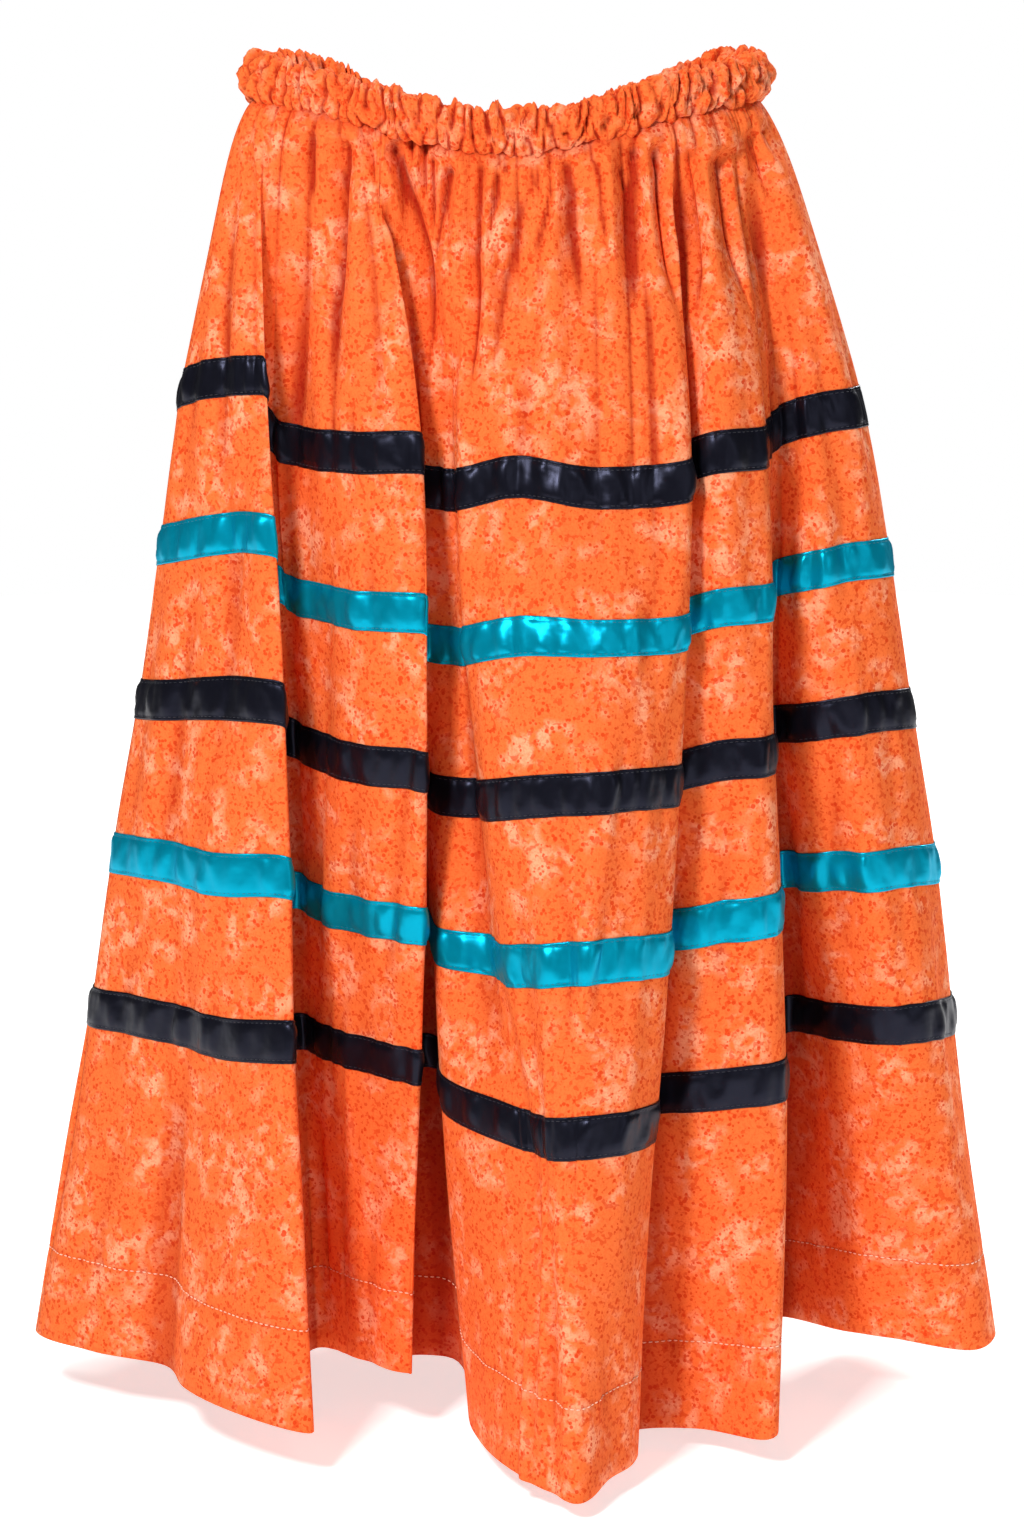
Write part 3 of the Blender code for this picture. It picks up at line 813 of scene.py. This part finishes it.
def dress(piece, nodes):
    """The piece rides on the skirt and stands in for its CAD nodes."""
    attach(piece, "root")
    if nodes:
        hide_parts(*nodes)


# %% The two skirt panels
COTTON = 0.45         # how thick the cotton is
TURN_UP = 1.25        # how far inside the turned-up hem lies
SEAM_DRAW = 0.15      # how far each panel stays off the other at the side seams


def panel(name, first, last, towards):
    """A panel between two columns of the ring, with its hem turned up inside."""
    picked = np.arange(first, last + 1) % columns
    outside = cloth[:, picked]
    normals = cloth_out[:, picked]
    turned = [index for index in range(len(rows)) if rows[index] >= STITCH_ROW][::-3]
    edge = outside[-1] - normals[-1] * TURN_UP / 2 - np.array([0, 0, TURN_UP / 3])
    inside = [edge] + [outside[index] - normals[index] * TURN_UP for index in turned]
    grid = np.concatenate([outside, np.array(inside)])
    grid[:, 0, 1] += towards * SEAM_DRAW
    grid[:, -1, 1] += towards * SEAM_DRAW
    steps = step_lengths[:, np.arange(first, last) % columns]
    across = np.concatenate([np.zeros((len(rows), 1)), np.cumsum(steps, axis=1)], axis=1)
    across -= across[:, across.shape[1] // 2][:, None]
    across = np.concatenate([across, across[-1:], across[turned]])
    down = np.concatenate([rows, [SIDE_LENGTH + 1], 2 * SIDE_LENGTH + 2 - rows[turned]])
    down = np.repeat(down[:, None], grid.shape[1], axis=1)
    # The painted shade of the creases; the turned-up hem inside gets none.
    depth = painted_shade_share[:, picked]
    depth = np.concatenate([depth, depth[-1:] * 0, depth[turned] * 0])
    made = sheet_object(name, grid, False, across, down, cotton, cotton_back, COTTON, depth)
    dress(made, [name.replace("cotton", "panel")])
    return made


front = panel("cotton_front", 0, right_seam, -1)
back = panel("cotton_back", right_seam, columns, 1)
for piece in (front, back):
    print(piece.name, len(piece.data.polygons) * 4, "triangles with thickness")


# %% [markdown]
# ## The casing
# The panels' top edge is folded over the elastic and stitched. The elastic draws it up into a
# puckered roll: knuckles of cotton stand up along the top edge, with pits and slanting creases
# between them. It is built as a closed roll round the waist. Its outline is a flattened oval, and
# three sets of uneven slanting furrows are pressed into it, with a wavering crease where the
# elastic grips.

# %% The scrunched roll
CASING_COLUMNS = 960
CASING_ROUND = 34
ROLL_HALF_HEIGHT = 12.5
ROLL_HALF_DEPTH = 5.6
# The upper, the lower and the fine furrows: narrowest, widest, least and most puffed out.
CASING_FURROWS = ((6, 14, 4.0, 7.2), (5, 11, 3.4, 6.2), (2.4, 5.5, 1.0, 2.6))
KNUCKLES = (-1.5, 3.0)    # how far a knuckle stands below or above the top edge
ELASTIC_GRIP = 3.4        # how deep the crease is where the elastic grips


def on_path(path, stops, places):
    """Points at these places along a path that closes into a ring."""
    closed = np.concatenate([path, path[:1]])
    return np.stack([np.interp(places, stops, closed[:, axis]) for axis in range(3)], axis=1)


def waist_curve(count):
    """Points along the gathering line, evenly spaced, with their outward directions."""
    places = np.arange(count) * waist_round / count
    points = on_path(plain[2], np.append(along_waist, waist_round), places)
    ahead = np.roll(points, -3, axis=0) - np.roll(points, 3, axis=0)
    out = np.stack([ahead[:, 1], -ahead[:, 0], np.zeros(count)], axis=1)
    return places, points, unit(out)


def flattened(value, power):
    """A value from -1 to 1, with its power taken and its sign kept."""
    return math.copysign(abs(value) ** power, value)


def casing_grid():
    """Rows go round the roll's outline, columns go round the waist."""
    places, line, out = waist_curve(CASING_COLUMNS)
    tiers = []
    for narrow, wide, least, most in CASING_FURROWS:
        furrows = furrow_places(narrow, wide)
        tiers.append((furrows, dice.uniform(least, most, len(furrows))))
    tall = dice.uniform(*KNUCKLES, len(tiers[0][0]))
    sag = wavy(places, 0, 46, 1, 25) * 1.4 + wavy(places, 0, 14, 1, 28) * 1.2
    grid, swells = [], []
    for turn in np.linspace(0, 2 * np.pi, CASING_ROUND, endpoint=False):
        up = flattened(math.sin(turn), 0.85)
        depth = flattened(math.cos(turn), 0.8)
        side = 1 if math.cos(turn) >= 0 else -1
        height = (up + 1) / 2
        slant = wavy(places, 0, 40, 1, 21) * 10 * height + side * wavy(places, 0, 34, 1, 22) * 4
        lower_slant = wavy(places, 0, 30, 1, 26) * 12 * height + side * 4
        crease_slant = wavy(places, turn * 3, 22, 8, 23) * 7 * height
        moves = []
        for (furrows, puffs), shift in zip(tiers, (slant, lower_slant, crease_slant)):
            pleat, ridge = ridges((places + shift) % waist_round, furrows, 0.6)
            moves.append((ridge * puffs[pleat] - 0.5 * puffs.mean(), pleat, ridge))
        waist_crease = 0.45 + 0.10 * wavy(places, 0, 24, 1, 27)
        upper_share = fall_off((height - waist_crease) / 0.3 + 0.5)
        swell = moves[0][0] * upper_share + moves[1][0] * (1 - upper_share) + moves[2][0]
        grip = ELASTIC_GRIP * (0.6 + 0.4 * wavy(places, 0, 17, 1, 29))
        swell -= grip * np.exp(-((height - waist_crease) / 0.10) ** 2)
        lump = wavy(places, turn * 6, 11, 8, 24) * 1.5
        held = 0.45 + 0.55 * min(1, height * 3)
        move = depth * ROLL_HALF_DEPTH + (swell + lump) * depth * held
        top = max(up, 0) ** 2 * (tall[moves[0][1]] * moves[0][2] + swell * 0.7 + lump * 0.6)
        foot = max(-up, 0) ** 2 * (sag + moves[1][0] * 0.35)
        point = line + out * move[:, None]
        point[:, 2] += CASING_HEIGHT / 2 + 1 + up * ROLL_HALF_HEIGHT + top - foot
        grid.append(point)
        swells.append(swell)
    return np.array(grid), places, np.array(swells)


roll, roll_places, roll_swell = casing_grid()
# Painted shade in the roll's pits: where the cloth lies behind its neighbours, its colour turns deep
# red.
roll_pit_shade = 0.9 * fall_off((mean_beside(roll_swell, 7) - roll_swell + 0.1) / 2.6)
roll_across = np.append(roll_places, waist_round)
roll_down = np.linspace(0, 4 * ROLL_HALF_HEIGHT, CASING_ROUND + 1)

# The roll closes both ways, and its faces look outward.
here = np.arange(CASING_ROUND)[:, None] * CASING_COLUMNS
under = np.roll(here, 1, axis=0)
left = np.arange(CASING_COLUMNS)[None, :]
right = np.roll(left, -1, axis=1)
corners = np.stack([here + left, under + left, under + right, here + right], axis=-1)
flat = np.stack(np.meshgrid(roll_across, roll_down), axis=-1) * MM
corner_map = np.stack([flat[1:, :-1], flat[:-1, :-1], flat[:-1, 1:], flat[1:, 1:]], axis=2)
casing = smooth_mesh("scrunched_casing", roll, corners.reshape(-1, 4).tolist(), (cotton,),
                     corner_map, roll_pit_shade)
dress(casing, ["waist_casing"])
print("casing", len(casing.data.polygons), "faces")


# %% [markdown]
# ## The ribbons
# Each ribbon is a strip of satin that lies on the cotton and is stitched 2 mm inside both edges.
# Between the stitches it stands a little proud, and the stitching draws small dimples into it.
# The strip's points are found between the cotton's own points, so it lies on the same folds.

# %% Ribbon strips
RIBBON_FINE = 2       # ribbon columns for each column of the cotton
RIBBON_LIFT = 0.35    # how far it lies off the cotton where it is stitched
RIBBON_THICK = 0.25
ACROSS_RIBBON = np.array([0, 0.9, 2.0, 3.2, 5.5, 8.5, 12.5, 16.5, 19.5, 21.8, 23.0, 24.1, 25.0])


def between(values, row, column):
    """Values of a grid between its rows and columns; columns go round the ring."""
    low = np.clip(np.searchsorted(rows, row, side="right") - 1, 0, len(rows) - 2)
    row_part = ((row - rows[low]) / (rows[low + 1] - rows[low]))[:, None, None]
    start = np.floor(column).astype(int)
    part = (column - start)[None, :, None]
    first, second = start % columns, (start + 1) % columns
    upper, lower = [values[index][:, first] * (1 - part) + values[index][:, second] * part
                    for index in (low, low + 1)]
    return upper * (1 - row_part) + lower * row_part


def stitch_line(offset_rows):
    """How near each row is to a line of ribbon stitching: 1 on it, 0 away from it."""
    apart = np.minimum(np.abs(offset_rows - STITCH_INSET),
                       np.abs(offset_rows - RIBBON_WIDTH + STITCH_INSET))
    return np.exp(-(apart / 1.3) ** 2)


def ribbon(number):
    """One satin ribbon right round the skirt."""
    column = np.arange(columns * RIBBON_FINE) / RIBBON_FINE
    row = RIBBON_ROWS[number] + ACROSS_RIBBON
    base = between(cloth, row, column)
    out = unit(between(cloth_out, row, column))
    along = np.concatenate([[0], np.cumsum(steps_round(base[6]))])
    held = stitch_line(ACROSS_RIBBON)[:, None]
    crown = np.sin(np.pi * ACROSS_RIBBON / RIBBON_WIDTH)[:, None] ** 0.6
    ripple_across = wavy(along[None, :-1], ACROSS_RIBBON[:, None], 19, 60, 60 + number)
    fine = wavy(along[None, :-1], ACROSS_RIBBON[:, None], 6, 20, 70 + number)
    lift = 0.12 + crown * (0.3 + 1.0 * np.clip(ripple_across + 0.7, 0, 2.2))
    lift = lift + (0.3 + 0.9 * held) * 0.22 * np.clip(fine + 1, 0, 2)
    lift = lift * (1 - 0.75 * held) + RIBBON_LIFT
    grid = base + out * lift[:, :, None]
    across, down = np.meshgrid(along, ACROSS_RIBBON)
    finish, _, slot = SATINS[number % 2]
    made = sheet_object("satin_ribbon_%d" % (number + 1), grid, True, across, down,
                        finish, finish, RIBBON_THICK)
    dress(made, ["ribbon_%d" % (number + 1)])
    return made, along[-1], base, out


ribbons = [ribbon(number) for number in range(RIBBON_COUNT)]
for made, length, _, _ in ribbons:
    print(made.name, "is", round(length), "mm round")


# %% [markdown]
# ## Stitches
# A stitch is a short rounded bar of thread that lies on the cloth and dips in at both ends. All
# the stitches of a seam are one mesh. Each is a slim four-sided bar with narrow ends.

# %% Bars of thread
def stitches(name, path, out, length, gap, thick, finish, slot):
    """Stitches along a closed path of points in millimetres."""
    stops = np.concatenate([[0], np.cumsum(steps_round(path))])
    count = int(stops[-1] // (length + gap))
    starts = np.arange(count) * stops[-1] / count
    points, faces = [], []
    ring = 4
    profile = ((0.0, 0.15), (0.25, 1.0), (0.75, 1.0), (1.0, 0.15))   # share of the length, size
    for share, size in profile:
        places = starts + share * length
        centre = on_path(path, stops, places)
        up = on_path(out, stops, places)
        ahead = on_path(path, stops, (places + 0.5) % stops[-1]) - centre
        side = unit(np.cross(up, ahead))
        for corner in range(ring):
            angle = 2 * np.pi * corner / ring
            away = up * (math.sin(angle) + size * 0.6) + side * math.cos(angle)
            points.append(centre + away * thick / 2 * size)
    points = np.array(points).transpose(1, 0, 2).reshape(-1, 3)
    for index in range(count):
        first = index * ring * len(profile)
        last = first + ring * (len(profile) - 1)
        for here in range(first, last, ring):
            for corner in range(ring):
                after = (corner + 1) % ring
                faces.append((here + corner, here + after, here + ring + after, here + ring + corner))
        faces.append(tuple(range(first, first + ring))[::-1])
        faces.append(tuple(range(last, last + ring)))
    made = smooth_mesh(name, points, faces, (finish,))
    dress(made, [])
    return made


# Each: a stitch's length, the gap to the next one and its thickness, in millimetres.
HEM_STITCH = (2.6, 1.3, 0.8)
RIBBON_STITCH = (2.4, 1.1, 0.4)
hem_row = np.argmin(np.abs(rows - STITCH_ROW))
hem_stitches = stitches("hem_stitches", cloth[hem_row] + cloth_out[hem_row] * 0.15, cloth_out[hem_row],
                        *HEM_STITCH, peach_thread, "orange_cotton")
for number, (_, _, base, out) in enumerate(ribbons):
    _, sewn_with, slot = SATINS[number % 2]
    for edge, index in (("upper", 2), ("lower", 10)):
        stitches(
            "ribbon_%d_%s_stitches" % (number + 1, edge), base[index] + out[index] * 0.55, out[index],
            *RIBBON_STITCH, sewn_with, slot)


# %% [markdown]
# ## What the cloth was cut from
# Each sheet's area is printed: the flat size of what shows. The gathers and pleats use up the rest.

# %% Cut sizes
for piece in (front, back, casing, *[entry[0] for entry in ribbons]):
    surface = sum(face.area for face in piece.data.polygons)
    print(piece.name, "has", round(surface, 4), "square metres")


# %% [markdown]
# ## The floor
# A plain pale floor under the hem, wide enough to fill the view.

# %% Floor
FLOOR_RADIUS = 2.6
FLOOR_SIDES = 96
floor_mesh = bpy.data.meshes.new("floor")
floor_z = cad_box[0][2] - 0.012
turns = [2 * math.pi * side / FLOOR_SIDES for side in range(FLOOR_SIDES)]
rim = [(FLOOR_RADIUS * math.cos(turn), FLOOR_RADIUS * math.sin(turn), floor_z) for turn in turns]
floor_mesh.from_pydata(rim, [], [range(FLOOR_SIDES)])
floor = add_object("floor", floor_mesh)
# Matt paint that also glows a little, so that it stays as white as the room behind it.
paint, _, _ = new_material("matt white floor paint", Base_Color=linear("#F6F5F3"), Roughness=0.9,
                           Emission_Color=(1, 1, 1, 1), Emission_Strength=0.6)
floor_mesh.materials.append(paint)
